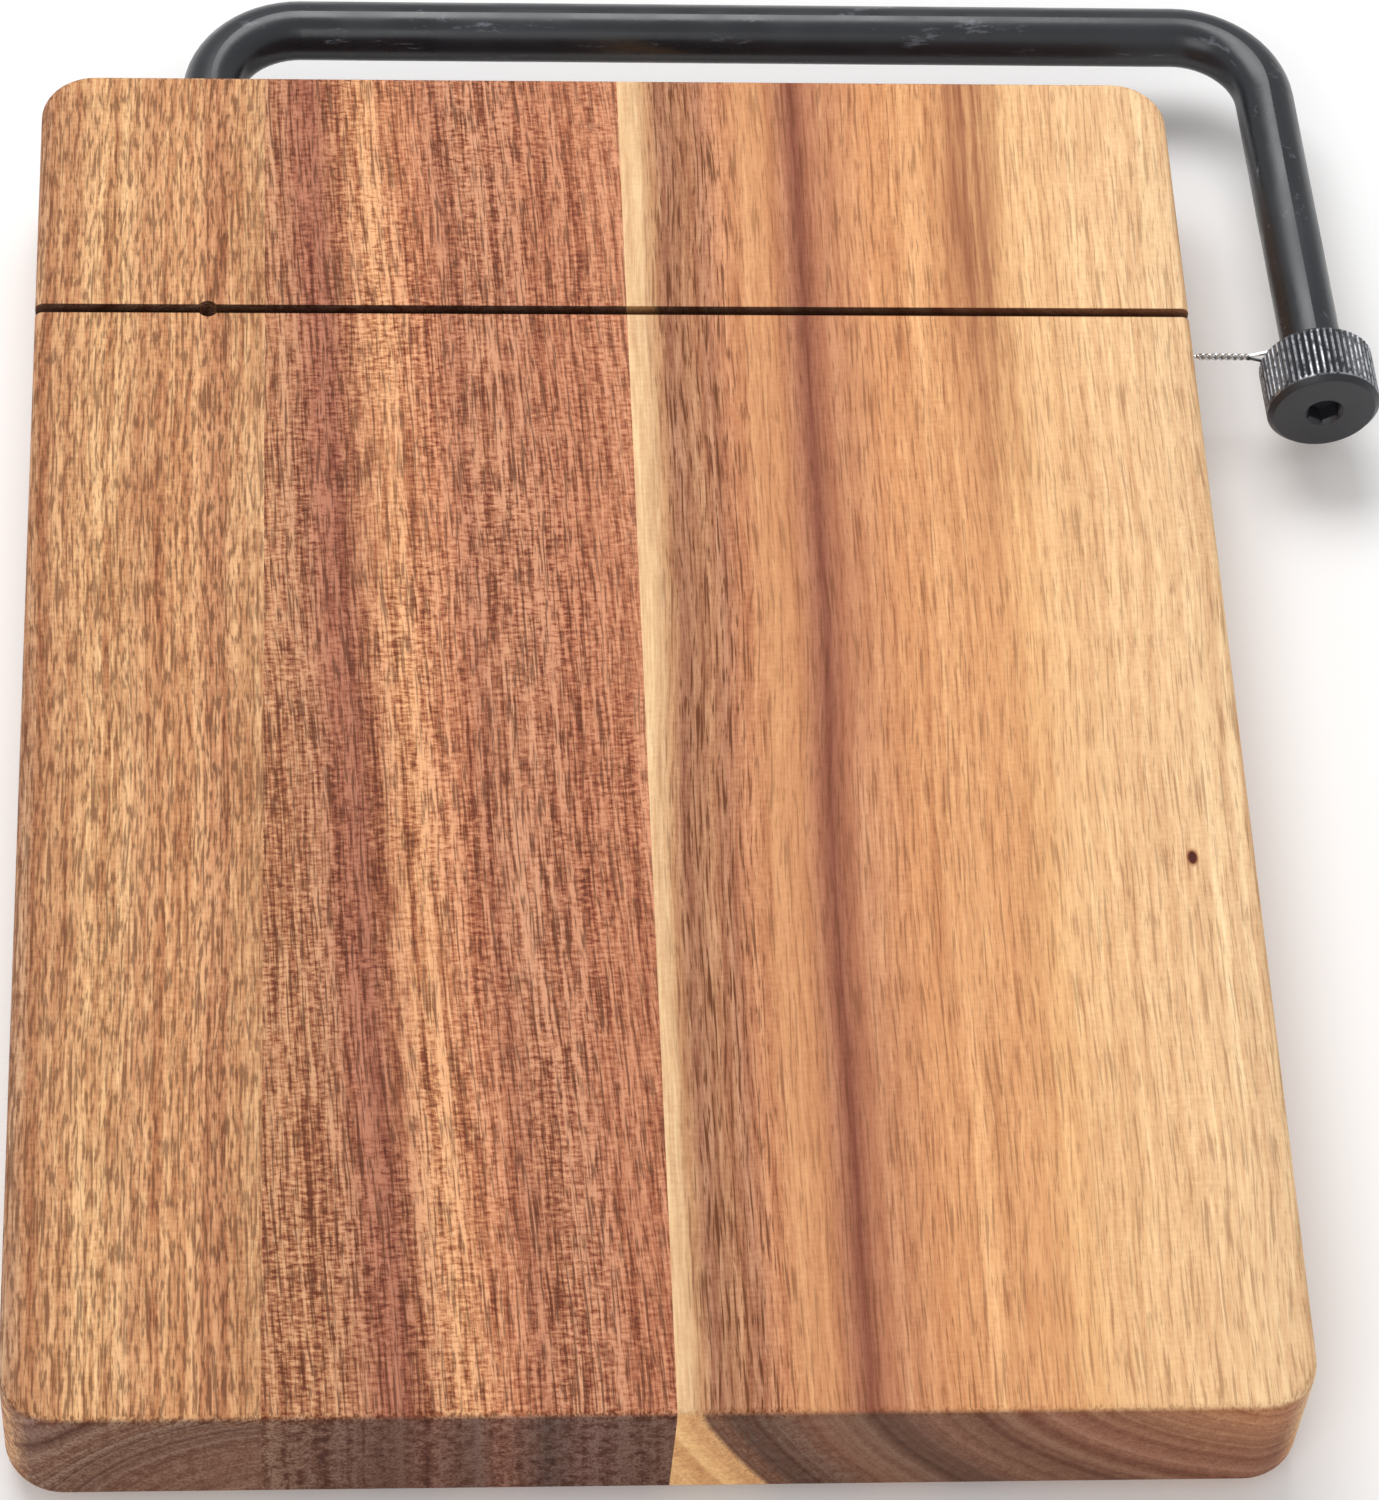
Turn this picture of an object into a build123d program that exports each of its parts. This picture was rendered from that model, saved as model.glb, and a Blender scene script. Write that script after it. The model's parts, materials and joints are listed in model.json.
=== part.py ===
"""Cheese wire cutter: an acacia board with a full-width saw groove near its back edge, and a bent
black rod that hinges in a bore through the board's back edge. The rod carries a steel cutting wire,
which is anchored on the hinge axis and clamped at the arm's end by a knurled knob.

Millimetres. The origin is the centre of the board's top face, the cutting surface. +X is the side
that the handle's arm hangs beside, +Y is the hinge edge (the back), +Z is up. The handle is down,
with its wire in the groove.
"""
from build123d import *
import os
from math import cos, pi, radians, sin

os.makedirs("parts", exist_ok=True)

# ---- the board: three glued staves of acacia ----
BOARD_WIDTH = 150.0
BOARD_LENGTH = 200.0
BOARD_THICK = 18.0
CORNER_RADIUS = 7.0
TOP_ROUND_OVER = 1.2
BOTTOM_ROUND_OVER = 1.0
GLUE_LINES = (-45.5, 1.3)  # X of the two glue joints

# ---- the hinge: a blind bore at half thickness, crossed by the wire's groove ----
PIVOT_X = -52.8
PIVOT_Z = -BOARD_THICK / 2
GROOVE_Y = 60.0
GROOVE_WIDTH = 1.4
GROOVE_DEPTH = 9.6
BORE_RUNNING_CLEARANCE = 0.05  # radial
BORE_END_Y = 48.0
THREADING_HOLE_RADIUS = 1.3  # from the top, where the wire comes up while it is threaded
BEAD_HOLE_RADIUS = 1.9  # from the underside, where the wire's bead goes in

# ---- the handle: one bent 8 mm steel rod ----
ROD_RADIUS = 4.0
BEND_RADIUS = 12.0  # on the rod's centreline, both bends
CROSSBAR_Y = 116.1
ARM_BEND_X = 90.88  # centreline where the arm leaves its bend, if it ran straight along -Y
ARM_SPLAY = radians(2.44)  # the arm leans outwards by this
LEG_END_Y = 49.0
ROD_CHAMFER = 0.6

# ---- the cutting wire ----
WIRE_RADIUS = 0.25
EYE_RADIUS = 2.85  # centreline of the ring round the stud
TWIST_RADIUS = 0.5
TWIST_LENGTH = 7.0
TWIST_FROM_STUD = 8.6
CROSS_HOLE_RADIUS = 0.6
COUNTERBORE_RADIUS = 1.6
COUNTERBORE_FLOOR = 1.6  # from the hinge axis, towards -X
BEAD_RADIUS = 1.4
BEAD_LENGTH = 1.8

# ---- the clamp: M5 stud, captive washer and knurled knob, on the arm's own axis ----
# stations are distances from the eye's plane along that axis, outwards
WIRE_GAP = 0.30  # from the eye's plane to the arm's end face, and to the washer
STUD_RADIUS = 2.45
STUD_CLEARANCE = 0.05
STUD_INNER, STUD_OUTER = -8.5, 6.0
TAPPED_HOLE_END = -10.0
WASHER_RADIUS = 5.0
WASHER_BORE_RADIUS = 2.55
WASHER_THICK = 0.8
KNOB_REAR = 0.45
KNOB_LENGTH = 9.0
KNOB_RADIUS = 7.5
KNOB_CHAMFER = 0.8
KNOB_RECESS_RADIUS = 5.3
KNURLS = 54
KNURL_DEPTH = 0.35
HEX_ACROSS_FLATS = 4.0
HEX_DEPTH = 2.5
HEX_LEAD_IN = 0.3

# ---- four rubber feet, each held by a cross-head screw ----
FOOT_X, FOOT_Y = 61.0, 86.0
FOOT_HEIGHT = 3.0
FOOT_TOP_RADIUS, FOOT_BOTTOM_RADIUS = 6.0, 5.4
FOOT_EDGE = 0.5
FOOT_RECESS_RADIUS = 3.1
FOOT_RECESS_DEPTH = 1.5
SCREW_HEAD_RADIUS = 2.4
SCREW_HEAD_THICK = 1.1
SCREW_SHANK_RADIUS = 1.25
SCREW_BITE = 7.0  # length in the wood
CROSS_WIDTH, CROSS_LENGTH, CROSS_DEPTH = 0.6, 2.6, 0.6

underside_z = -BOARD_THICK
feet = {
    f"{end}_{side}": (x, y)
    for end, y in (("front", -FOOT_Y), ("back", FOOT_Y))
    for side, x in (("left", -FOOT_X), ("right", FOOT_X))
}


def save(shape, node):
    """Write one node, under its own label."""
    shape.label = node
    export_step(shape, f"parts/{node}.step")


def cylinder(radius, start, end):
    """A plain cylinder between two points."""
    start, end = Vector(*start), Vector(*end)
    base = Plane(origin=start, z_dir=end - start)
    return extrude(base * Circle(radius), (end - start).length)


# ---- the arm's axis, from the end of its bend out to the plane of the wire's eye ----
arm_bend_end = Vector(
    ARM_BEND_X - BEND_RADIUS * (1 - cos(ARM_SPLAY)), CROSSBAR_Y - BEND_RADIUS * (1 - sin(ARM_SPLAY)), 0
)
arm_direction = Vector(sin(ARM_SPLAY), -cos(ARM_SPLAY), 0)
arm_length = (arm_bend_end.Y - GROOVE_Y) / cos(ARM_SPLAY)
eye_centre = arm_bend_end + arm_direction * arm_length + Vector(0, 0, PIVOT_Z)
# the clamp's pieces are made about local Z, outwards along the arm's axis; local X is up, and
# local Y points back at the board
clamp_plane = Plane(origin=eye_centre, x_dir=(0, 0, 1), z_dir=arm_direction)


def save(shape, node):
    """Write one node under its own name."""
    shape.label = node
    export_step(shape, f"parts/{node}.step")


def cylinder(radius, start, end):
    """A plain cylinder between two points."""
    start, end = Vector(*start), Vector(*end)
    return extrude(Plane(origin=start, z_dir=end - start) * Circle(radius), (end - start).length)


def tube(outer, inner, low, high):
    """A plain tube about local Z between two heights, or a disc where inner is 0."""
    body = cylinder(outer, (0, 0, low), (0, 0, high))
    return body - cylinder(inner, (0, 0, low), (0, 0, high)) if inner else body


def turned(*profile):
    """A solid of revolution about local Z from its half outline, as (radius, height) pairs."""
    return revolve(make_face(Plane.XZ * Polyline(*profile, close=True)), Axis.Z)


def whole_board():
    """The glued-up board before it is divided at its glue lines, with every cut in it."""
    blank = Pos(0, 0, underside_z) * extrude(
        RectangleRounded(BOARD_WIDTH, BOARD_LENGTH, CORNER_RADIUS), BOARD_THICK
    )
    blank = fillet(blank.faces().sort_by(Axis.Z)[-1].edges(), TOP_ROUND_OVER)
    blank = fillet(blank.faces().sort_by(Axis.Z)[0].edges(), BOTTOM_ROUND_OVER)
    on_axis = (PIVOT_X, GROOVE_Y, PIVOT_Z)
    cuts = [
        Pos(0, GROOVE_Y, 0) * Box(2 * BOARD_WIDTH, GROOVE_WIDTH, 2 * GROOVE_DEPTH),
        cylinder(
            ROD_RADIUS + BORE_RUNNING_CLEARANCE,
            (PIVOT_X, BORE_END_Y, PIVOT_Z),
            (PIVOT_X, BOARD_LENGTH, PIVOT_Z),
        ),
        cylinder(THREADING_HOLE_RADIUS, on_axis, (PIVOT_X, GROOVE_Y, 1)),
        cylinder(BEAD_HOLE_RADIUS, (PIVOT_X, GROOVE_Y, underside_z - 1), on_axis),
    ]
    for x, y in feet.values():
        cuts.append(cylinder(SCREW_SHANK_RADIUS, (x, y, underside_z - 1), (x, y, underside_z + SCREW_BITE)))
    return blank - cuts


def handle_rod():
    """Leg in the bore, crossbar behind the board and arm beside it, all one bent rod."""
    leg_bend = Vector(PIVOT_X, CROSSBAR_Y - BEND_RADIUS, 0)
    bar_left = Vector(PIVOT_X + BEND_RADIUS, CROSSBAR_Y, 0)
    bar_right = Vector(ARM_BEND_X - BEND_RADIUS, CROSSBAR_Y, 0)
    arm_tip = arm_bend_end + arm_direction * (arm_length - WIRE_GAP)
    route = Wire(
        [
            Line((PIVOT_X, LEG_END_Y, 0), leg_bend),
            TangentArc(leg_bend, bar_left, tangent=(0, 1)),
            Line(bar_left, bar_right),
            TangentArc(bar_right, arm_bend_end, tangent=(1, 0)),
            Line(arm_bend_end, arm_tip),
        ]
    )
    section = Plane(origin=(PIVOT_X, LEG_END_Y, 0), z_dir=(0, 1, 0)) * Circle(ROD_RADIUS)
    rod = Pos(0, 0, PIVOT_Z) * sweep(section, path=route)
    rod = chamfer(rod.faces().filter_by(GeomType.PLANE).edges(), ROD_CHAMFER)
    past_rod = 2 * ROD_RADIUS
    cross_hole = cylinder(
        CROSS_HOLE_RADIUS, (PIVOT_X - past_rod, GROOVE_Y, PIVOT_Z), (PIVOT_X + past_rod, GROOVE_Y, PIVOT_Z)
    )
    counterbore = cylinder(
        COUNTERBORE_RADIUS,
        (PIVOT_X - past_rod, GROOVE_Y, PIVOT_Z),
        (PIVOT_X - COUNTERBORE_FLOOR, GROOVE_Y, PIVOT_Z),
    )
    tapped_hole = clamp_plane * tube(STUD_RADIUS + STUD_CLEARANCE, 0, TAPPED_HOLE_END, 0)
    return rod - [cross_hole, counterbore, tapped_hole]


def cutting_wire():
    """Straight wire from its bead on the hinge axis to an eye round the stud, with the twist behind it."""
    start = Vector(PIVOT_X - COUNTERBORE_FLOOR - BEAD_LENGTH, GROOVE_Y, PIVOT_Z)
    eye_side = clamp_plane.from_local_coords((0, EYE_RADIUS, 0))
    along = (eye_side - start).normalized()
    twist_end = eye_side - along * (TWIST_FROM_STUD - EYE_RADIUS)
    straight = cylinder(WIRE_RADIUS, start, eye_side)
    twist = cylinder(TWIST_RADIUS, twist_end - along * TWIST_LENGTH, twist_end)
    eye = clamp_plane * Torus(EYE_RADIUS, WIRE_RADIUS)
    return straight + twist + eye


def wire_bead():
    """The crimped bead that bears on the floor of the cross hole's counterbore."""
    seat = (PIVOT_X - COUNTERBORE_FLOOR, GROOVE_Y, PIVOT_Z)
    end = (PIVOT_X - COUNTERBORE_FLOOR - BEAD_LENGTH, GROOVE_Y, PIVOT_Z)
    return cylinder(BEAD_RADIUS, end, seat) - cylinder(WIRE_RADIUS, end, seat)


def clamp_washer():
    """The washer, held in the knob's recess, that presses on the eye without twisting it."""
    return clamp_plane * tube(WASHER_RADIUS, WASHER_BORE_RADIUS, WIRE_GAP, WIRE_GAP + WASHER_THICK)


def tension_knob():
    """Straight-knurled knob: chamfered ends, a hex socket in its face, a recess and tapped hole behind."""
    front = KNOB_REAR + KNOB_LENGTH
    pitch = 2 * pi / KNURLS
    crest = 0.2 * pitch  # half the angle of one ridge's flat top
    outline = []
    for i in range(KNURLS):
        for radius, angle in (
            (KNOB_RADIUS, i * pitch - crest),
            (KNOB_RADIUS, i * pitch + crest),
            (KNOB_RADIUS - KNURL_DEPTH, (i + 0.5) * pitch),
        ):
            outline.append((radius * cos(angle), radius * sin(angle)))
    bar = Pos(0, 0, KNOB_REAR) * extrude(make_face(Polyline(*outline, close=True)), KNOB_LENGTH)
    clear = 0.1  # the chamfers' cone runs this far past the knurls
    chamfered = turned(
        (0, KNOB_REAR),
        (KNOB_RADIUS - KNOB_CHAMFER, KNOB_REAR),
        (KNOB_RADIUS + clear, KNOB_REAR + KNOB_CHAMFER + clear),
        (KNOB_RADIUS + clear, front - KNOB_CHAMFER - clear),
        (KNOB_RADIUS - KNOB_CHAMFER, front),
        (0, front),
    )
    corner_radius = HEX_ACROSS_FLATS / 2 / cos(pi / 6)
    socket = Pos(0, 0, front - HEX_DEPTH) * extrude(RegularPolygon(corner_radius, 6), HEX_DEPTH + 1)
    lead_in = turned(
        (0, front - HEX_LEAD_IN),
        (corner_radius - HEX_LEAD_IN, front - HEX_LEAD_IN),
        (corner_radius + HEX_LEAD_IN, front + HEX_LEAD_IN),
        (0, front + HEX_LEAD_IN),
    )
    recess = tube(KNOB_RECESS_RADIUS, 0, 0, WIRE_GAP + WASHER_THICK)
    stud_hole = tube(STUD_RADIUS, 0, 0, STUD_OUTER)
    return clamp_plane * ((bar & chamfered) - [socket, lead_in, recess, stud_hole])


def clamp_stud():
    """The threaded stud, fixed in the knob and screwed into the arm's end."""
    point = 0.4
    return clamp_plane * turned(
        (0, STUD_INNER),
        (STUD_RADIUS - point, STUD_INNER),
        (STUD_RADIUS, STUD_INNER + point),
        (STUD_RADIUS, STUD_OUTER),
        (0, STUD_OUTER),
    )


def rubber_foot():
    """A tapered round foot about local Z, its top face at height 0, with a recess for its screw."""
    recess_top = FOOT_RECESS_DEPTH - FOOT_HEIGHT
    return turned(
        (SCREW_SHANK_RADIUS, 0),
        (FOOT_TOP_RADIUS, 0),
        (FOOT_BOTTOM_RADIUS, FOOT_EDGE - FOOT_HEIGHT),
        (FOOT_BOTTOM_RADIUS - FOOT_EDGE, -FOOT_HEIGHT),
        (FOOT_RECESS_RADIUS, -FOOT_HEIGHT),
        (FOOT_RECESS_RADIUS, recess_top),
        (SCREW_SHANK_RADIUS, recess_top),
    )


def foot_screw():
    """A cross-head screw about local Z, its head seated in the foot and its point in the wood."""
    seat = FOOT_RECESS_DEPTH - FOOT_HEIGHT
    head_bottom = seat - SCREW_HEAD_THICK
    dome = 0.4
    body = turned(
        (0, head_bottom),
        (SCREW_HEAD_RADIUS - dome, head_bottom),
        (SCREW_HEAD_RADIUS, head_bottom + dome),
        (SCREW_HEAD_RADIUS, seat),
        (SCREW_SHANK_RADIUS, seat),
        (SCREW_SHANK_RADIUS, SCREW_BITE - 2 * SCREW_SHANK_RADIUS),
        (0, SCREW_BITE),
    )
    for sides in ((CROSS_LENGTH, CROSS_WIDTH), (CROSS_WIDTH, CROSS_LENGTH)):
        body -= Pos(0, 0, head_bottom) * Box(*sides, 2 * CROSS_DEPTH)
    return body


board = whole_board()
stave_edges = (-BOARD_WIDTH, *GLUE_LINES, BOARD_WIDTH)
for name, left, right in zip(("left", "middle", "right"), stave_edges, stave_edges[1:]):
    slab = Pos((left + right) / 2, 0, 0) * Box(right - left, 2 * BOARD_LENGTH, 3 * BOARD_THICK)
    save(board & slab, f"stave_{name}")

save(handle_rod(), "handle_rod")
save(cutting_wire(), "cutting_wire")
save(wire_bead(), "wire_bead")
save(clamp_washer(), "clamp_washer")
save(tension_knob(), "tension_knob")
save(clamp_stud(), "clamp_stud")

for corner, (x, y) in feet.items():
    place = Pos(x, y, underside_z)
    save(place * rubber_foot(), f"foot_{corner}")
    save(place * foot_screw(), f"foot_screw_{corner}")

print(f"clamp axis: through {eye_centre}, along {arm_direction}")
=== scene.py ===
import json
import math
import bpy
import numpy as np
from mathutils import Matrix, Vector


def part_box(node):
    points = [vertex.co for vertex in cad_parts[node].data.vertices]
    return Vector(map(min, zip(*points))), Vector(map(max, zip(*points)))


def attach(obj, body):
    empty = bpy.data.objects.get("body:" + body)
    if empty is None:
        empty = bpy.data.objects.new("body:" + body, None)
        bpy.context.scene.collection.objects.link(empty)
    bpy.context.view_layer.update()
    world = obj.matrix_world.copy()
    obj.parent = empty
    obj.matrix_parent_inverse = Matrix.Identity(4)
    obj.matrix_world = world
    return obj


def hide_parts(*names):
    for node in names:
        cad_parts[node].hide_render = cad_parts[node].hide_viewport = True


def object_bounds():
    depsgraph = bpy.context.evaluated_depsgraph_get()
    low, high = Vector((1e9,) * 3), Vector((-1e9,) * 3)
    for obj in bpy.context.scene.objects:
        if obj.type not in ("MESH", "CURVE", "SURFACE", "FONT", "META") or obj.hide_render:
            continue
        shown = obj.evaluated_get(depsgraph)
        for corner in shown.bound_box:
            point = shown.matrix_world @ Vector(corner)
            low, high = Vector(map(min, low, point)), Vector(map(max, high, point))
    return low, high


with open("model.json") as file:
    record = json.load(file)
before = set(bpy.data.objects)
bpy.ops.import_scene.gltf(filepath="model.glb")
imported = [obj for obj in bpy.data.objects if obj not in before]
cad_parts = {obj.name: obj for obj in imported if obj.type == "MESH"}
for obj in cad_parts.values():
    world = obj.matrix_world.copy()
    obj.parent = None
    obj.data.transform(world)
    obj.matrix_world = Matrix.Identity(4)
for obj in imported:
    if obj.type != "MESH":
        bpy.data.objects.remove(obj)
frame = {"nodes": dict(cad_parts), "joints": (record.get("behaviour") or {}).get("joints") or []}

cad_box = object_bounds()
MM = 0.001


# ---- The board's three staves ----
# Solid acacia, planed, glued edge to edge, sawn, rounded over, sanded and rubbed with food-safe oil.
# Long grain runs front to back; the front and back edges show dark, thirsty end grain.

def linear(code):
    """An sRGB hex colour as linear RGBA."""
    c = np.array([int(code[i:i + 2], 16) for i in (0, 2, 4)]) / 255
    return (*np.where(c <= 0.04045, c / 12.92, ((c + 0.055) / 1.055) ** 2.4).tolist(), 1.0)


def add(material, kind, inputs=None, out=0, **settings):
    """Adds one shader node with its settings, links or sets its inputs, and gives back one output."""
    node = material.node_tree.nodes.new("ShaderNode" + kind)
    for name, value in settings.items():
        setattr(node, name, value)
    for name, value in (inputs or {}).items():
        if isinstance(value, bpy.types.NodeSocket):
            material.node_tree.links.new(value, node.inputs[name])
        else:
            node.inputs[name].default_value = value
    return node.outputs[out] if len(node.outputs) else None


def new_material(name):
    """An empty node material."""
    material = bpy.data.materials.new(name)
    material.use_nodes = True
    material.node_tree.nodes.clear()
    return material


swing = next(j for j in frame["joints"] if j["name"] == "handle_swing")
groove_y = swing["pos_m"][1] / MM


def acacia(name, bands, end_bands, lean, pith, fibre, dash, dash_size, pore_tone, oil, figure,
           pin_knot=None, stain=None):
    """Oiled acacia. bands and end_bands are (mm across the stave's top, colour, pore strength).
    lean is how far the grain runs off to the side for each mm along it. fibre is the contrast of the
    fibres and figure that of the ribbon figure. dash is how dark the pores are, dash_size how many
    there are to the mm across and along the grain and the noise level above which one opens, and
    pore_tone their colour. oil is what the oil leaves of the wood's red, green and blue. pin_knot is
    (x, y), and stain is (x, half width, y where it starts, y where it is full), in mm.

    The growth rings are cylinders round the pith, a line (x, z) in mm that runs front to back, and a
    point's band is where its ring meets the top face: u = xp - sqrt((x - xp)^2 + (z - zp)^2 - zp^2).
    A ring too small to reach the top has a negative square, and its root counts the other way.
    The fibres wander, so x is first moved by the lean and by two slow noises. Fibres and pores are
    noises stretched along the grain, so that end grain shows them as dots.
    """
    m = new_material(name)
    place = add(m, "TexCoord", out="Object")
    mm = add(m, "VectorMath", {0: place, "Scale": 1 / MM}, operation="SCALE")
    x, y, z = (add(m, "SeparateXYZ", {0: mm}, out=i) for i in range(3))

    # wander of the fibres, in mm: a slow drift and a short ripple
    slow_at = add(m, "VectorMath", {0: mm, 1: (0.012, 0.014, 0.012)}, operation="MULTIPLY")
    slow = add(m, "TexNoise", {"Vector": slow_at, "Scale": 1.0, "Detail": 1.0})
    ripple_at = add(m, "VectorMath", {0: mm, 1: (0.12, 0.045, 0.12)}, operation="MULTIPLY")
    ripple = add(m, "TexNoise", {"Vector": ripple_at, "Scale": 1.0, "Detail": 2.0})
    drift = add(m, "Math", {0: slow, 1: 3.0, 2: -1.5}, operation="MULTIPLY_ADD")
    drift = add(m, "Math", {0: ripple, 1: 0.7, 2: drift}, operation="MULTIPLY_ADD")
    drift = add(m, "Math", {0: y, 1: lean, 2: drift}, operation="MULTIPLY_ADD")
    across = add(m, "Math", {0: x, 1: drift}, operation="ADD")
    across = add(m, "Math", {0: across, 1: -0.35}, operation="ADD")

    # the ring that passes through the point, named by where it meets the top face
    from_pith = add(m, "Math", {0: across, 1: -pith[0]}, operation="ADD")
    below_pith = add(m, "Math", {0: z, 1: -pith[1]}, operation="ADD")
    squared = add(m, "Math", {0: below_pith, 1: below_pith}, operation="MULTIPLY")
    squared = add(m, "Math", {0: from_pith, 1: from_pith, 2: squared}, operation="MULTIPLY_ADD")
    squared = add(m, "Math", {0: squared, 1: -pith[1] ** 2}, operation="ADD")
    side = add(m, "Math", {0: squared}, operation="SIGN")
    size = add(m, "Math", {0: squared}, operation="ABSOLUTE")
    size = add(m, "Math", {0: size}, operation="SQRT")
    ring = add(m, "Math", {0: size, 1: side}, operation="MULTIPLY")
    band = add(m, "Math", {0: pith[0], 1: ring}, operation="SUBTRACT")

    def tones(stops):
        """The stave's colours from band to band, with the pore strength in alpha."""
        low, high = stops[0][0], stops[-1][0]
        along = add(m, "MapRange", {"Value": band, "From Min": low, "From Max": high})
        ramp = add(m, "ValToRGB", {"Fac": along}).node
        while len(ramp.color_ramp.elements) < len(stops):
            ramp.color_ramp.elements.new(0.5)
        for element, (at, code, pores) in zip(ramp.color_ramp.elements, stops):
            element.position = (at - low) / (high - low)
        for element, (at, code, pores) in zip(ramp.color_ramp.elements, stops):
            element.color = (*linear(code)[:3], pores)
        return ramp.outputs

    side_colour, pore_strength = tones(bands)
    end_colour = tones(end_bands)[0]

    # end grain where the surface faces along the fibres
    normal = add(m, "SeparateXYZ", {0: add(m, "TexCoord", out="Normal")}, out="Y")
    facing = add(m, "Math", {0: normal}, operation="ABSOLUTE")
    is_end = add(m, "MapRange", {"Value": facing, "From Min": 0.5, "From Max": 0.85})
    colour = add(m, "Mix", {0: is_end, 6: side_colour, 7: end_colour}, out=2, data_type="RGBA")

    grain = add(m, "CombineXYZ", {0: across, 1: y, 2: z})

    # fibres 0.3 mm wide, and darker lines 0.8 mm wide that run on for 30 mm
    fine_at = add(m, "VectorMath", {0: grain, 1: (2.3, 0.12, 2.3)}, operation="MULTIPLY")
    fine = add(m, "TexNoise", {"Vector": fine_at, "Scale": 1.0, "Detail": 4.0, "Roughness": 0.7})
    broad_at = add(m, "VectorMath", {0: grain, 1: (0.75, 0.02, 0.75)}, operation="MULTIPLY")
    broad = add(m, "TexNoise", {"Vector": broad_at, "Scale": 1.0, "Detail": 3.0, "Roughness": 0.6})
    tone = add(m, "Math", {0: fine, 1: fibre, 2: 1.0 - 0.9 * fibre}, operation="MULTIPLY_ADD")
    tone = add(m, "Math", {0: broad, 1: 0.8 * fibre, 2: tone}, operation="MULTIPLY_ADD")

    # growth rings: lines that keep to their band, faint on long grain and strong on end grain
    lines = add(m, "TexNoise", {"W": band, "Scale": 0.35, "Detail": 3.0, "Roughness": 0.6},
                noise_dimensions="1D")
    lines = add(m, "Math", {0: lines, 1: 0.5}, operation="SUBTRACT")
    plain = add(m, "MapRange", {"Value": is_end, "To Min": 0.45 * fibre, "To Max": 2.2})
    tone = add(m, "Math", {0: lines, 1: plain, 2: tone}, operation="MULTIPLY_ADD")

    # ribbon figure: short bars of light and shade across the grain, in patches
    bar_at = add(m, "VectorMath", {0: grain, 1: (0.7, 1.9, 0.7)}, operation="MULTIPLY")
    bar = add(m, "TexNoise", {"Vector": bar_at, "Scale": 1.0, "Detail": 3.0, "Roughness": 0.65})
    patch_at = add(m, "VectorMath", {0: grain, 1: (0.09, 0.03, 0.09)}, operation="MULTIPLY")
    patch = add(m, "TexNoise", {"Vector": patch_at, "Scale": 1.0, "Detail": 2.0})
    patch = add(m, "MapRange", {"Value": patch, "From Min": 0.3, "From Max": 0.6, "To Min": 0.35})
    shimmer = add(m, "Math", {0: bar, 1: 0.5}, operation="SUBTRACT")
    shimmer = add(m, "Math", {0: shimmer, 1: patch}, operation="MULTIPLY")
    tone = add(m, "Math", {0: shimmer, 1: figure, 2: tone}, operation="MULTIPLY_ADD")
    # where the pores are few the wood is even too
    evenness = add(m, "MapRange", {"Value": pore_strength, "From Min": 0.4, "From Max": 0.9,
                                   "To Min": 0.5, "To Max": 1.1})
    tone = add(m, "Math", {0: tone, 1: 1.0}, operation="SUBTRACT")
    tone = add(m, "Math", {0: tone, 1: evenness, 2: 1.0}, operation="MULTIPLY_ADD")
    tone = add(m, "Math", {0: tone, 1: 0.3}, operation="MAXIMUM")
    tone = add(m, "Math", {0: tone, 1: 1.32}, operation="MINIMUM")
    # darker is redder and lighter is yellower, as in oiled wood
    green = add(m, "Math", {0: tone, 1: 1.55}, operation="POWER")
    blue = add(m, "Math", {0: tone, 1: 1.85}, operation="POWER")
    shade = add(m, "CombineXYZ", {0: tone, 1: green, 2: blue})
    shade = add(m, "VectorMath", {0: shade, 1: oil}, operation="MULTIPLY")
    colour = add(m, "Mix", {0: 1.0, 6: colour, 7: shade}, out=2, data_type="RGBA", blend_type="MULTIPLY")

    # pores: open vessels, dark lines along the grain, in two lengths
    pore_at = add(m, "VectorMath", {0: grain, 1: (dash_size[0], dash_size[1], dash_size[0])},
                  operation="MULTIPLY")
    pore = add(m, "TexNoise", {"Vector": pore_at, "Scale": 1.0, "Detail": 2.0, "Roughness": 0.6})
    pore = add(m, "MapRange", {"Value": pore, "From Min": dash_size[2], "From Max": dash_size[2] + 0.14})
    drawn_out_at = add(m, "VectorMath", {0: grain, 1: (2.6, 0.1, 2.6)}, operation="MULTIPLY")
    drawn_out = add(m, "TexNoise", {"Vector": drawn_out_at, "Scale": 1.0, "Detail": 1.0, "Roughness": 0.5})
    drawn_out = add(m, "MapRange", {"Value": drawn_out, "From Min": 0.57, "From Max": 0.67})
    pore = add(m, "Math", {0: pore, 1: drawn_out}, operation="MAXIMUM")
    open_pore = add(m, "Math", {0: pore, 1: pore_strength}, operation="MULTIPLY")
    dark = add(m, "Math", {0: open_pore, 1: dash}, operation="MULTIPLY")
    colour = add(m, "Mix", {0: dark, 6: colour, 7: linear(pore_tone)}, out=2, data_type="RGBA")

    if stain:
        # a brown cloud at one end of the stave, along the fibres
        off_centre = add(m, "Math", {0: across, 1: stain[0]}, operation="SUBTRACT")
        off_centre = add(m, "Math", {0: off_centre}, operation="ABSOLUTE")
        core = add(m, "MapRange", {"Value": off_centre, "From Min": stain[1], "From Max": 0.0})
        reach = add(m, "MapRange", {"Value": y, "From Min": stain[2], "From Max": stain[3]})
        cloud = add(m, "Math", {0: core, 1: reach}, operation="MULTIPLY")
        streaks = add(m, "MapRange", {"Value": broad, "From Min": 0.65, "From Max": 0.35,
                                      "To Min": 0.35, "To Max": 1.2})
        cloud = add(m, "Math", {0: cloud, 1: streaks}, operation="MULTIPLY")
        colour = add(m, "Mix", {0: cloud, 6: colour, 7: linear("925438")}, out=2, data_type="RGBA")

    if pin_knot:
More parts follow.
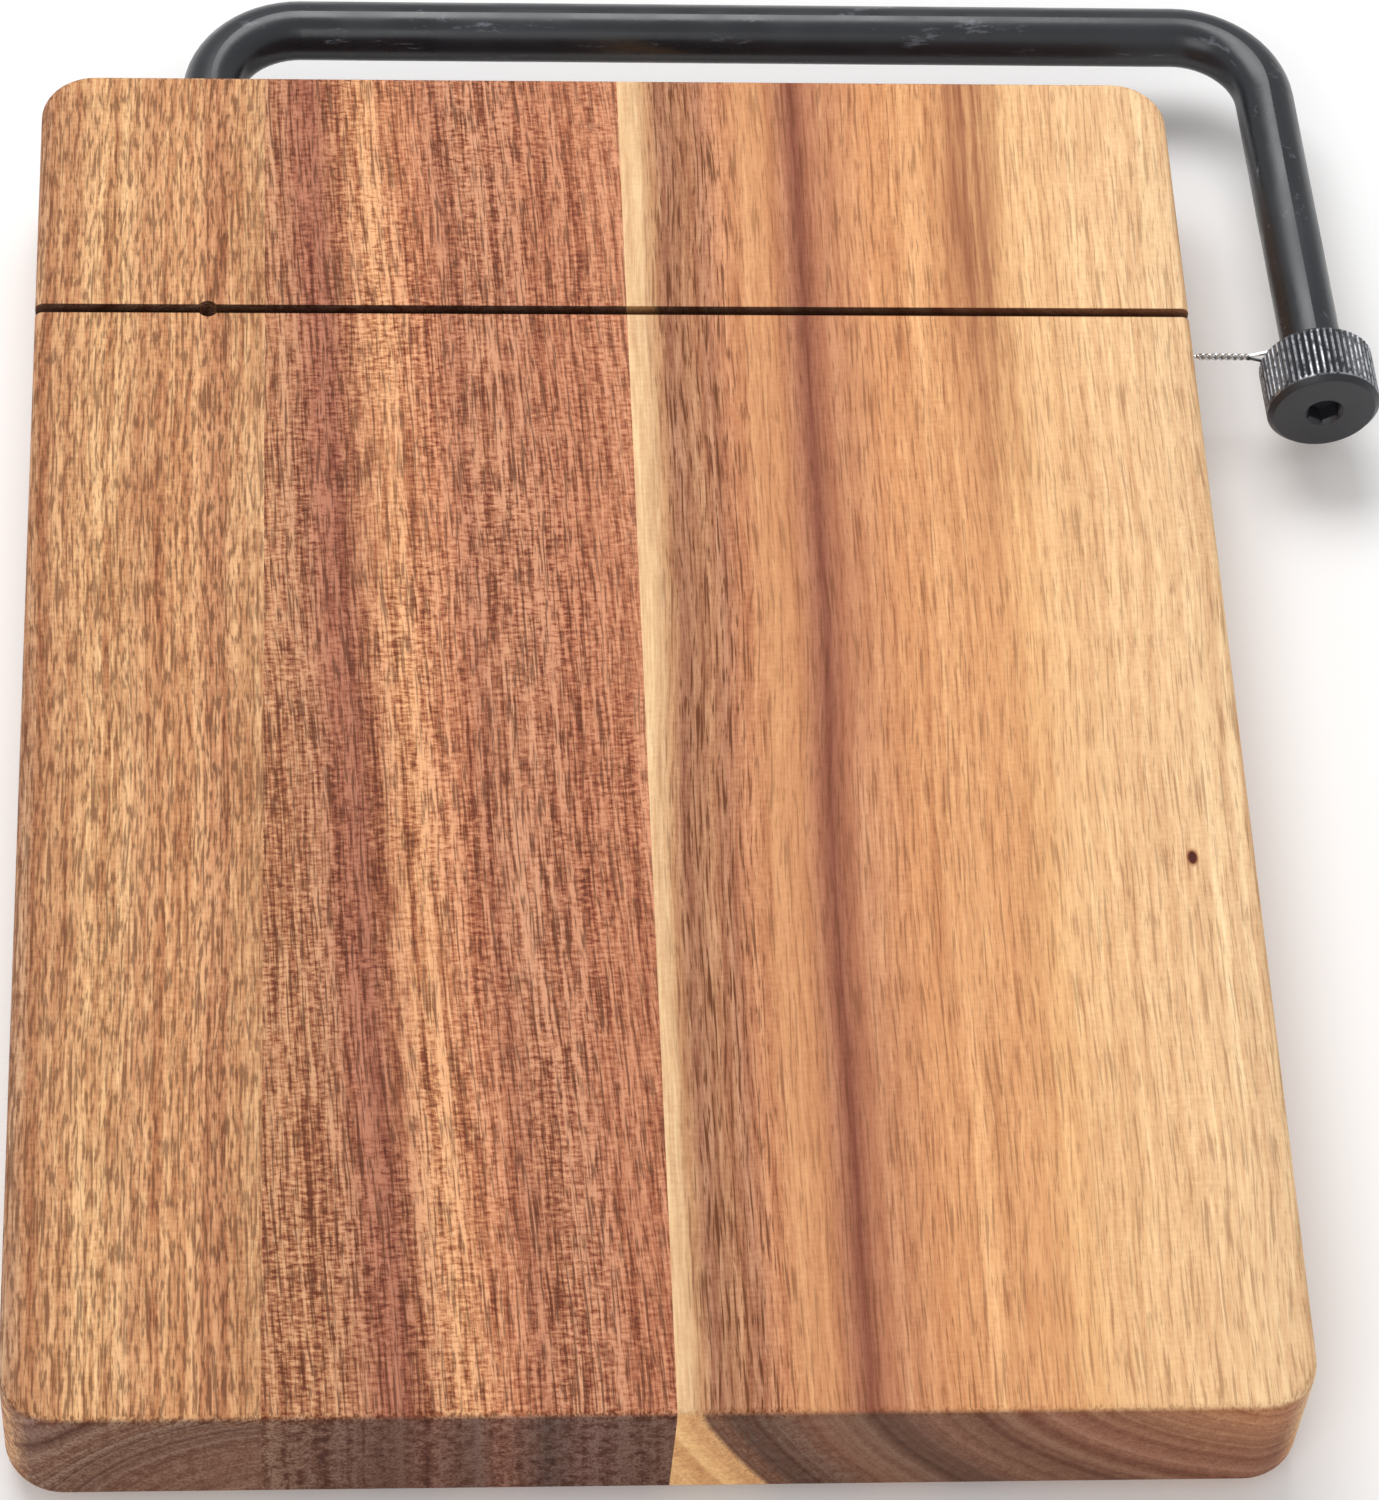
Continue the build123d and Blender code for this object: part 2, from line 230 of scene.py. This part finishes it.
        # one pin knot: a dark spot through the thickness with a reddish rim
        offset = add(m, "VectorMath", {0: mm, 1: (*pin_knot, 0)}, operation="SUBTRACT")
        oval = add(m, "VectorMath", {0: offset, 1: (1.0, 0.6, 0.0)}, operation="MULTIPLY")
        reach = add(m, "VectorMath", {0: oval}, out="Value", operation="LENGTH")
        rim = add(m, "MapRange", {"Value": reach, "From Min": 0.9, "From Max": 0.5})
        core = add(m, "MapRange", {"Value": reach, "From Min": 0.62, "From Max": 0.45})
        colour = add(m, "Mix", {0: rim, 6: colour, 7: linear("9c5a34")}, out=2, data_type="RGBA")
        colour = add(m, "Mix", {0: core, 6: colour, 7: linear("4e1f12")}, out=2, data_type="RGBA")

    # the saw leaves the groove's walls and floor scorched, and painted shade darkens them more the deeper
    # they lie:
    # within 0.8 mm of its middle, and no deeper than 9.8 mm, so that the underside stays clean
    from_groove = add(m, "Math", {0: y, 1: groove_y}, operation="SUBTRACT")
    from_groove = add(m, "Math", {0: from_groove}, operation="ABSOLUTE")
    in_groove = add(m, "Math", {0: from_groove, 1: 0.8}, operation="LESS_THAN")
    above_floor = add(m, "Math", {0: z, 1: -9.8}, operation="GREATER_THAN")
    in_groove = add(m, "Math", {0: in_groove, 1: above_floor}, operation="MULTIPLY")
    # painted shade: the scorch colour's share grows from 0.3 at the rim to 0.94 at 2 mm down, darker with
    # depth into the groove
    depth = add(m, "MapRange", {"Value": z, "From Min": -0.15, "From Max": -2.0,
                                "To Min": 0.3, "To Max": 0.94})
    scorch_and_groove_shade = add(m, "Math", {0: in_groove, 1: depth}, operation="MULTIPLY")
    colour = add(m, "Mix", {0: scorch_and_groove_shade, 6: colour, 7: linear("4a2d1e")}, out=2, data_type="RGBA")

    # the fibres stand up a little and the open pores are sunk
    height = add(m, "Math", {0: fine, 1: 0.35}, operation="MULTIPLY")
    sunk = add(m, "Math", {0: open_pore, 1: -0.8, 2: height}, operation="MULTIPLY_ADD")
    relief = add(m, "Bump", {"Height": sunk, "Strength": 0.5, "Distance": 0.08 * MM})
    roughness = add(m, "MapRange", {"Value": fine, "To Min": 0.5, "To Max": 0.7})
    shader = add(m, "BsdfPrincipled", {"Base Color": colour, "Roughness": roughness, "Normal": relief,
                                       "IOR": 1.47, "Specular IOR Level": 0.22})
    add(m, "OutputMaterial", {"Surface": shader})
    return m


stave_looks = {
    "stave_left": dict(
        bands=[(-75, "c2987a", 0.9), (-72.8, "c68e66", 0.9), (-70, "d29b70", 0.9), (-66.8, "dea97a", 0.9),
               (-63.8, "e4b181", 0.9), (-60.8, "d49c71", 0.9), (-57.8, "daa174", 0.9),
               (-54.8, "dca375", 0.9), (-51.8, "cc9068", 1.0), (-50.2, "cc926a", 1.0),
               (-48.8, "d69f73", 0.9), (-45.5, "dcaa7e", 0.8)],
        end_bands=[(-80, "8c6959", 0), (-70, "8a6557", 0), (-64, "775547", 0), (-60, "94705d", 0),
                   (-50, "806050", 0), (-42, "8e6957", 0), (-32, "7c5b4c", 0), (-20, "8c6654", 0)],
        lean=0.005, pith=(-40, -32), fibre=1.55, dash=0.75, dash_size=(2.3, 0.3, 0.48), pore_tone="5a2f12",
        oil=(0.93, 0.885, 0.81), figure=0.7,
    ),
    "stave_middle": dict(
        bands=[(-52, "bd8662", 0.9), (-44, "bf8763", 0.9), (-40, "b98060", 0.9), (-37, "a76850", 0.9),
               (-34.5, "9c5e48", 0.9), (-31, "c88b66", 0.8), (-28, "d5986d", 0.8), (-25, "ce8e68", 0.8),
               (-22, "c88563", 0.8), (-19, "b27357", 0.9), (-16, "bf8263", 0.9), (-10, "bc7d5f", 0.9),
               (-7.5, "b87658", 0.9), (1.3, "c28060", 0.7)],
        end_bands=[(-52, "86624f", 0), (-42, "755448", 0), (-36, "664539", 0), (-32, "7c5446", 0),
                   (-27, "6a4c42", 0), (-24, "8c5f50", 0), (-19, "59423a", 0), (-15, "74534a", 0),
                   (-8, "6a4b40", 0), (1.3, "7a5547", 0)],
        lean=0.05, pith=(200, 0), fibre=2.4, dash=0.85, dash_size=(2.5, 0.2, 0.51),
        pore_tone="562608", oil=(1.03, 1.0, 0.92), figure=3.0,
    ),
    "stave_right": dict(
        bands=[(0, "f2cb9f", 0.1), (3.2, "e6bf95", 0.15), (4.6, "c39069", 0.6), (6.2, "ae795e", 1.0),
               (8.2, "b37e5e", 1.0), (9.8, "c68f6c", 0.9), (11.4, "b37a5d", 1.0), (14, "cd8c66", 0.8),
               (17, "dca073", 0.4), (20, "d29469", 0.4), (22.6, "b07358", 0.5), (24.0, "8e523e", 0.6),
               (26, "ba7b5c", 0.4), (28, "cd906b", 0.5), (34, "df9f70", 0.5), (41, "e8ae7d", 0.5),
               (44, "dfa171", 0.45), (50, "efba86", 0.4), (53, "f4c594", 0.4), (56, "eebf8f", 0.4),
               (66, "f6cda0", 0.4), (75, "eac59c", 0.4)],
        end_bands=[(-6, "f6c48c", 0), (1, "efba82", 0), (4.2, "dda573", 0), (5.0, "6a4636", 0),
                   (6.2, "86614f", 0), (8, "624a40", 0), (13, "745547", 0), (16, "8d6552", 0),
                   (21, "84604e", 0), (24, "644739", 0), (27, "6e4c3e", 0), (30, "8b6350", 0),
                   (36, "7d5644", 0), (44, "986752", 0), (52, "9a6a50", 0), (62, "b67e5c", 0)],
        lean=-0.008, pith=(76, 24), fibre=1.5, dash=1.0, dash_size=(3.2, 0.22, 0.55),
        pore_tone="6a3816", oil=(0.945, 0.9, 0.82), figure=0.6,
        pin_knot=(67.1, -25.0), stain=(47.0, 5.5, 10.0, 75.0),
    ),
}
for node, look in stave_looks.items():
    frame["nodes"][node].data.materials.clear()
    frame["nodes"][node].data.materials.append(acacia("oiled_acacia_" + node, **look))


# ---- Four feet and their screws ----
# Moulded black rubber buttons, each held to the underside by one zinc-plated cross-head screw that
# sits in the foot's recess.

def dress(nodes, material):
    """Puts one material on CAD pieces whose shape is already right."""
    for node in nodes:
        frame["nodes"][node].data.materials.clear()
        frame["nodes"][node].data.materials.append(material)


def metal(name, tone, roughness, mottle_mm, mottle):
    """A bare or plated metal. Spots mottle_mm wide are rougher or smoother by mottle, and fine
    grain, drawn 0.1 mm wide so that it shows, roughens the surface."""
    m = new_material(name)
    place = add(m, "TexCoord", out="Object")
    spots = add(m, "TexNoise", {"Vector": place, "Scale": 1 / (mottle_mm * MM), "Detail": 3.0})
    grain = add(m, "TexNoise", {"Vector": place, "Scale": 1 / (0.1 * MM), "Detail": 2.0})
    rough = add(m, "MapRange", {"Value": spots, "From Min": 0.3, "From Max": 0.7,
                                "To Min": roughness - mottle, "To Max": roughness + mottle})
    shades = add(m, "ValToRGB", {"Fac": spots})
    shades.node.color_ramp.elements[0].color = linear(tone[0])
    shades.node.color_ramp.elements[1].color = linear(tone[1])
    relief = add(m, "Bump", {"Height": grain, "Strength": 0.25, "Distance": 0.01 * MM})
    shader = add(m, "BsdfPrincipled", {"Base Color": shades, "Metallic": 1.0, "Roughness": rough,
                                       "Normal": relief})
    add(m, "OutputMaterial", {"Surface": shader})
    return m


# moulded rubber: near black, dull, with a fine grain from the mould and a trace of pale bloom
rubber = new_material("moulded_black_rubber")
rubber_place = add(rubber, "TexCoord", out="Object")
bloom = add(rubber, "TexNoise", {"Vector": rubber_place, "Scale": 1 / (6 * MM), "Detail": 4.0})
mould_grain = add(rubber, "TexNoise", {"Vector": rubber_place, "Scale": 1 / (0.25 * MM), "Detail": 2.0})
rubber_tone = add(rubber, "ValToRGB", {"Fac": bloom})
rubber_tone.node.color_ramp.elements[0].color = linear("1c1c1d")
rubber_tone.node.color_ramp.elements[1].color = linear("2f2f30")
rubber_relief = add(rubber, "Bump", {"Height": mould_grain, "Strength": 0.4, "Distance": 0.03 * MM})
rubber_shader = add(rubber, "BsdfPrincipled", {"Base Color": rubber_tone, "Roughness": 0.78, "IOR": 1.52,
                                               "Normal": rubber_relief})
add(rubber, "OutputMaterial", {"Surface": rubber_shader})

corners = [end + "_" + side for end in ("front", "back") for side in ("left", "right")]
dress(["foot_" + corner for corner in corners], rubber)
# bright zinc plate: pale, faintly blue and cloudy
dress(["foot_screw_" + corner for corner in corners],
      metal("bright_zinc_plate_on_screws", ("b4b6ba", "d2d3d4"), 0.34, 0.8, 0.1))


# ---- The bent rod ----
# 8 mm mild steel bar, cold bent twice and coated satin black. Its leg turns in the bore in the
# board's back edge, and its other arm ends in a tapped hole for the clamp.

# satin black coating: charcoal with a cold cast, soft sheen, faint scuffs where it has been handled
coating = new_material("satin_black_coating_on_steel")
rod_place = add(coating, "TexCoord", out="Object")
cloud = add(coating, "TexNoise", {"Vector": rod_place, "Scale": 1 / (9 * MM), "Detail": 5.0})
peel = add(coating, "TexNoise", {"Vector": rod_place, "Scale": 1 / (0.7 * MM), "Detail": 3.0})
scuff_at = add(coating, "VectorMath", {0: rod_place, 1: (110, 190, 620)}, operation="MULTIPLY")
scuff = add(coating, "TexNoise", {"Vector": scuff_at, "Scale": 1.0, "Detail": 6.0, "Roughness": 0.72})
scuffed = add(coating, "MapRange", {"Value": scuff, "From Min": 0.6, "From Max": 0.72})
rod_tone = add(coating, "ValToRGB", {"Fac": cloud})
rod_tone.node.color_ramp.elements[0].color = linear("1a1c20")
rod_tone.node.color_ramp.elements[1].color = linear("282b31")
rod_colour = add(coating, "Mix", {0: scuffed, 6: rod_tone, 7: linear("6d7078")}, out=2, data_type="RGBA")
sheen = add(coating, "MapRange", {"Value": cloud, "From Min": 0.3, "From Max": 0.7,
                                  "To Min": 0.22, "To Max": 0.38})
rod_relief = add(coating, "Bump", {"Height": peel, "Strength": 0.22, "Distance": 0.03 * MM})
rod_shader = add(coating, "BsdfPrincipled", {"Base Color": rod_colour, "Roughness": sheen, "IOR": 1.55,
                                             "Normal": rod_relief})
add(coating, "OutputMaterial", {"Surface": rod_shader})
dress(["handle_rod"], coating)


# ---- The cutting wire ----
# 0.5 mm spring-hard stainless wire. It comes out of the hinge leg's cross hole, lies in the groove,
# and ends in an eye round the clamp's stud, its tail wound back round it.

def skin(name, rings, material):
    """A closed surface from an array (stations, around, 3) in mm. Neighbouring rings are joined by
    quads, each ring closes on itself, and the end rings are closed on their centre points. If the
    volume, the sum over faces of corner . (edge x edge) / 6, comes out negative, faces are turned."""
    stations, around = rings.shape[:2]
    centres = [rings[0].mean(axis=0), rings[-1].mean(axis=0)]
    points = np.concatenate([rings.reshape(-1, 3), centres])
    station, turn = np.meshgrid(np.arange(stations - 1), np.arange(around), indexing="ij")
    corner = station * around + turn
    beside = station * around + (turn + 1) % around
    quads = np.stack([corner, beside, beside + around, corner + around], axis=-1).reshape(-1, 4)
    one = np.arange(around)
    two = (one + 1) % around
    last = (stations - 1) * around
    first_cap = np.stack([two, one, np.full(around, len(points) - 2)], axis=-1)
    last_cap = np.stack([last + one, last + two, np.full(around, len(points) - 1)], axis=-1)
    caps = np.concatenate([first_cap, last_cap])
    triangles = np.concatenate([quads[:, :3], quads[:, [0, 2, 3]], caps])
    a, b, c = (points[triangles[:, i]] for i in range(3))
    if np.einsum("ij,ij->i", a, np.cross(b, c)).sum() < 0:
        quads, caps = quads[:, ::-1], caps[:, ::-1]
    mesh = bpy.data.meshes.new(name)
    mesh.from_pydata((points * MM).tolist(), [], quads.tolist() + caps.tolist())
    mesh.shade_smooth()
    mesh.set_sharp_from_angle(angle=math.radians(35))
    mesh.materials.append(material)
    piece = bpy.data.objects.new(name, mesh)
    bpy.context.collection.objects.link(piece)
    return piece


turn_joint = next(j for j in frame["joints"] if j["name"] == "knob_turn")
hub = np.array(turn_joint["pos_m"]) / MM
outward = np.array(turn_joint["axis"])
upward = np.array([0.0, 0.0, 1.0])
inward = np.cross(outward, upward)

wire_radius = 0.25
eye_radius = 2.85
twist_near, twist_length, twist_turns = 8.6, 7.0, 4
bead_low, bead_high = (np.array(corner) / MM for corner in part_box("wire_bead"))
wire_start = np.array([bead_low[0], (bead_low[1] + bead_high[1]) / 2, (bead_low[2] + bead_high[2]) / 2])
eye_side = hub + eye_radius * inward
wire_run = eye_side - wire_start
wire_run /= np.linalg.norm(wire_run)
twist_start = eye_side - (twist_near + twist_length - eye_radius) * wire_run

# the straight run, then a strand of the twist: a circle 0.25 mm in radius carried along the run
straight = wire_start + np.linspace(0, np.linalg.norm(twist_start - wire_start), 400)[:, None] * wire_run
along = np.linspace(0, 1, 120)[1:, None]
phase = 2 * math.pi * twist_turns * along
spin = np.cos(phase) * upward + np.sin(phase) * outward
strand = twist_start + twist_length * along * wire_run + wire_radius * spin
tail = (twist_start + twist_length * along * wire_run - wire_radius * spin)[::-1]
# the eye: a circle round the stud, square to it, left and met along its tangents. It is set off
# towards the washer from midway, so that both ends clear the edge of the rod's end face
eye_set_off = 0.02
meets = math.acos(eye_radius / twist_near)
bend = np.linspace(meets, 2 * math.pi - meets, 120)[:, None]
eye = hub + eye_set_off * outward + eye_radius * (np.cos(bend) * inward + np.sin(bend) * upward)
path = np.concatenate([straight, strand, eye, tail])

# spaced evenly, smoothed over five points, and given its round section
spacing = 0.12
step = np.linalg.norm(np.diff(path, axis=0), axis=1)
travel = np.concatenate([[0], np.cumsum(step)])
evenly = np.linspace(0, travel[-1], int(travel[-1] / spacing))
path = np.stack([np.interp(evenly, travel, path[:, i]) for i in range(3)], axis=1)
padded = np.pad(path, ((2, 2), (0, 0)), mode="edge")
weights = np.array([1, 2, 3, 2, 1]) / 9
path = np.stack([np.convolve(padded[:, i], weights, "valid") for i in range(3)], axis=1)
tangent = np.gradient(path, axis=0)
tangent /= np.linalg.norm(tangent, axis=1)[:, None]
first = outward - (tangent @ outward)[:, None] * tangent
first /= np.linalg.norm(first, axis=1)[:, None]
second = np.cross(tangent, first)
round_wire = np.linspace(0, 2 * math.pi, 10, endpoint=False)[None, :, None]
skin_from_path = np.cos(round_wire) * first[:, None] + np.sin(round_wire) * second[:, None]
rings = path[:, None] + wire_radius * skin_from_path

# hard-drawn stainless: bright, with faint drawing lines
wire = skin("twisted_cutting_wire", rings,
            metal("hard_drawn_stainless_wire", ("b9bbbd", "dcdddd"), 0.26, 1.5, 0.06))
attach(wire, "handle")
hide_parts("cutting_wire")


# ---- The wire's bead ----
# A small stainless ferrule crimped on the wire's end and tumbled smooth. It bears on the floor of
# the counterbore in the hinge leg, and so takes the wire's pull.
dress(["wire_bead"], metal("tumbled_stainless_bead", ("9b9c9e", "c4c5c6"), 0.38, 0.6, 0.08))


# ---- The clamp: stud, captive washer and knurled knob ----
# The knob is turned from steel bar, straight knurled and blacked. Its M5 stud screws into the rod's
# end and pinches the wire's eye between the rod and a captive zinc-plated washer.

dress(["clamp_washer"], metal("zinc_plate_on_washer", ("a9abad", "cfd0d0"), 0.32, 1.0, 0.08))

rear, front = 0.45, 9.45
stud_inner, stud_outer = -8.5, 6.0
thread_pitch, thread_radius, thread_depth = 0.8, 2.45, 0.45
end_radius = 1.95


def round_the_axis(height, radius, angle):
    """Points at a height along the knob's axis from the eye's plane, and a radius and angle round it.
    The arrays broadcast to (stations, around); angle 0 is up."""
    height, radius, angle = np.broadcast_arrays(height, radius, angle)
    arms = np.cos(angle)[..., None] * upward + np.sin(angle)[..., None] * inward
    return hub + height[..., None] * outward + radius[..., None] * arms


# an M5 x 0.8 thread: the radius falls by the thread's depth with the distance from the helix's crest,
# and a cone with 45 degree sides trims both ends
climb = np.linspace(stud_inner, stud_outer, 182)[:, None]
about = np.linspace(0, 2 * math.pi, 48, endpoint=False)[None, :]
flank = np.abs(2 * np.mod(climb / thread_pitch - about / (2 * math.pi), 1) - 1)
threaded = thread_radius - thread_depth * flank
threaded = np.minimum(threaded, end_radius + np.minimum(climb - stud_inner, stud_outer - climb))

# blackened steel: a thin dark oxide over grey metal
black_oxide = metal("blackened_steel_thread", ("2b2b2d", "55565a"), 0.42, 1.0, 0.1)
stud = skin("threaded_stud", round_the_axis(climb, threaded, about), black_oxide)
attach(stud, "knob")
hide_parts("clamp_stud")

knob_radius, chamfer = 7.5, 0.8
knurls, knurl_depth, knurl_run_out = 54, 0.35, 0.5
hex_flat, hex_depth, lead_in = 2.0, 2.5, 0.6
recess_radius, recess_end = 5.3, 1.10


def soften(corners, reach, steps):
    """A profile with each corner replaced by a parabola that leaves it a distance reach before the
    corner and meets it again as far after: (1 - t)^2 A + 2 t (1 - t) B + t^2 C."""
    before, middle, after = corners[:-2], corners[1:-1], corners[2:]
    to_before = (before - middle) / np.linalg.norm(before - middle, axis=1)[:, None]
    to_after = (after - middle) / np.linalg.norm(after - middle, axis=1)[:, None]
    t = np.linspace(0, 1, steps)[None, :, None]
    a, b, c = (middle + reach * to_before)[:, None], middle[:, None], (middle + reach * to_after)[:, None]
    curve = (1 - t) ** 2 * a + 2 * t * (1 - t) * b + t ** 2 * c
    return np.concatenate([corners[:1], curve.reshape(-1, 2), corners[-1:]])


# half the knob's section, (radius, height), from the stud's hole round the outside into the socket
section = soften(np.array([
    (thread_radius, stud_outer),
    (thread_radius, recess_end),
    (recess_radius, recess_end),
    (recess_radius, rear),
    (knob_radius - chamfer, rear),
    (knob_radius, rear + chamfer),
    (knob_radius, front - chamfer - knurl_run_out),
    (knob_radius, front - chamfer),
    (knob_radius - chamfer, front),
    (hex_flat + lead_in, front),
    (hex_flat - 0.02, front - lead_in - 0.02),
    (hex_flat - 0.02, front - hex_depth),
    (0.3, front - hex_depth),
]), 0.07, 4)
# a knurl's crest is flat for a quarter of its pitch and falls straight to the middle of the groove,
# and the grooves run out before the front chamfer, which is smooth. The socket is a hexagon,
# flat / cos(angle from the flat's middle), with corners up and down
angle = np.linspace(0, 2 * math.pi, knurls * 8, endpoint=False)[None, :]
from_groove = np.abs(2 * np.mod(angle * knurls / (2 * math.pi), 1) - 1)
run_out = np.clip((front - chamfer - section[:, 1:]) / knurl_run_out, 0, 1)
knurled = knob_radius - knurl_depth * run_out * (1 - np.minimum(from_groove / 0.75, 1))
socket = hex_flat / np.cos(np.mod(angle, math.pi / 3) - math.pi / 6)
inside = section[:, 1:] > front - hex_depth - 0.01
radius = np.minimum(section[:, :1], knurled)
radius = np.where(inside & (section[:, :1] > 1.0), np.maximum(radius, socket), radius)

# blacked steel: turned faces satin and charcoal, the black rubbed off the knurl's crests
blacked = new_material("blacked_steel_with_worn_knurl")
knob_place = add(blacked, "TexCoord", out="Object")
from_hub = add(blacked, "VectorMath", {0: knob_place, 1: tuple(hub * MM)}, operation="SUBTRACT")
height_at = add(blacked, "VectorMath", {0: from_hub, 1: tuple(outward)}, out="Value", operation="DOT_PRODUCT")
lift = add(blacked, "VectorMath", {0: tuple(outward), "Scale": height_at}, operation="SCALE")
spoke = add(blacked, "VectorMath", {0: from_hub, 1: lift}, operation="SUBTRACT")
spoke = add(blacked, "VectorMath", {0: spoke}, out="Value", operation="LENGTH")
crest = add(blacked, "MapRange", {"Value": spoke, "From Min": 7.36 * MM, "From Max": 7.47 * MM})
tool_marks_per_m = 9000.0  # 0.11 mm apart, the lathe tool's feed
rub = add(blacked, "TexNoise", {"Vector": knob_place, "Scale": 1 / (1.1 * MM), "Detail": 4.0,
                                "Roughness": 0.7})
rubbed = add(blacked, "MapRange", {"Value": rub, "From Min": 0.38, "From Max": 0.6})
bare = add(blacked, "Math", {0: crest, 1: rubbed}, operation="MULTIPLY")
tool_marks = add(blacked, "TexNoise", {"W": spoke, "Scale": tool_marks_per_m, "Detail": 2.0},
                 noise_dimensions="1D")
knob_relief = add(blacked, "Bump", {"Height": tool_marks, "Strength": 0.12, "Distance": 0.02 * MM})
knob_colour = add(blacked, "Mix", {0: bare, 6: linear("2b2c31"), 7: linear("bcbfc5")}, out=2,
                  data_type="RGBA")
knob_rough = add(blacked, "MapRange", {"Value": rub, "From Min": 0.3, "From Max": 0.7,
                                       "To Min": 0.34, "To Max": 0.46})
bare_metal = add(blacked, "Math", {0: bare, 1: 0.9, 2: 0.1}, operation="MULTIPLY_ADD")
knob_shader = add(blacked, "BsdfPrincipled", {"Base Color": knob_colour, "Metallic": bare_metal,
                                              "Roughness": knob_rough, "Normal": knob_relief})
add(blacked, "OutputMaterial", {"Surface": knob_shader})

knob = skin("knurled_knob", round_the_axis(section[:, 1:], radius, angle), blacked)
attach(knob, "knob")
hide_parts("tension_knob")


# ---- Floor, light and camera ----
# A wide sheet of matt white paper under the feet, a large softbox over the back edge and a smaller
# one in front, in a white room. The camera stands in front of the board and looks down on it.

def area_light(name, at, towards, size, power):
    """An oblong softbox, its face turned to a point. Places and sizes in mm, power in watts."""
    lamp = bpy.data.lights.new(name, "AREA")
    lamp.shape, lamp.size, lamp.size_y = "RECTANGLE", size[0] * MM, size[1] * MM
    lamp.energy = power
    holder = bpy.data.objects.new(name, lamp)
    holder.location = Vector(at) * MM
    holder.rotation_euler = (Vector(towards) - Vector(at)).to_track_quat("-Z", "Y").to_euler()
    bpy.context.collection.objects.link(holder)


lowest = cad_box[0].z
half = 3.0
mesh = bpy.data.meshes.new("floor")
square = [(-half, -half, lowest), (half, -half, lowest), (half, half, lowest), (-half, half, lowest)]
mesh.from_pydata(square, [], [(0, 1, 2, 3)])
floor = bpy.data.objects.new("floor", mesh)
bpy.context.collection.objects.link(floor)
paper = new_material("white_paper")
paper_shader = add(paper, "BsdfPrincipled", {"Base Color": linear("fafafa"), "Roughness": 0.9})
add(paper, "OutputMaterial", {"Surface": paper_shader})
mesh.materials.append(paper)

area_light("softbox_back", (-130, 470, 760), (0, 0, 0), (700, 400), 4.8)
area_light("softbox_front", (-300, -700, 700), (0, 0, 0), (600, 600), 2.2)

world = bpy.data.worlds.new("studio")
bpy.context.scene.world = world
world.use_nodes = True
world.node_tree.nodes["Background"].inputs["Color"].default_value = (1, 1, 1, 1)
world.node_tree.nodes["Background"].inputs["Strength"].default_value = 0.56
bpy.context.scene.view_settings.view_transform = "Standard"

# the camera looks down on the board from over its front left corner, turned a little on its own axis
yaw, pitch, roll = (math.radians(a) for a in (7.376, 55.397, -5.987))
forward = Vector((math.sin(yaw) * math.cos(pitch), math.cos(yaw) * math.cos(pitch), -math.sin(pitch)))
level = Vector((math.cos(yaw), -math.sin(yaw), 0))
upright = level.cross(forward)
right = math.cos(roll) * level - math.sin(roll) * upright
up = math.sin(roll) * level + math.cos(roll) * upright
camera_data = bpy.data.cameras.new("camera")
camera_data.sensor_width = 36.0
camera_data.lens = 127.1
camera_data.clip_start, camera_data.clip_end = 0.01, 10
camera = bpy.data.objects.new("camera", camera_data)
facing = Matrix((right, up, -forward)).transposed().to_4x4()
camera.matrix_world = Matrix.Translation(Vector((-40.75, -374.06, 533.44)) * MM) @ facing
bpy.context.collection.objects.link(camera)
bpy.context.scene.camera = camera
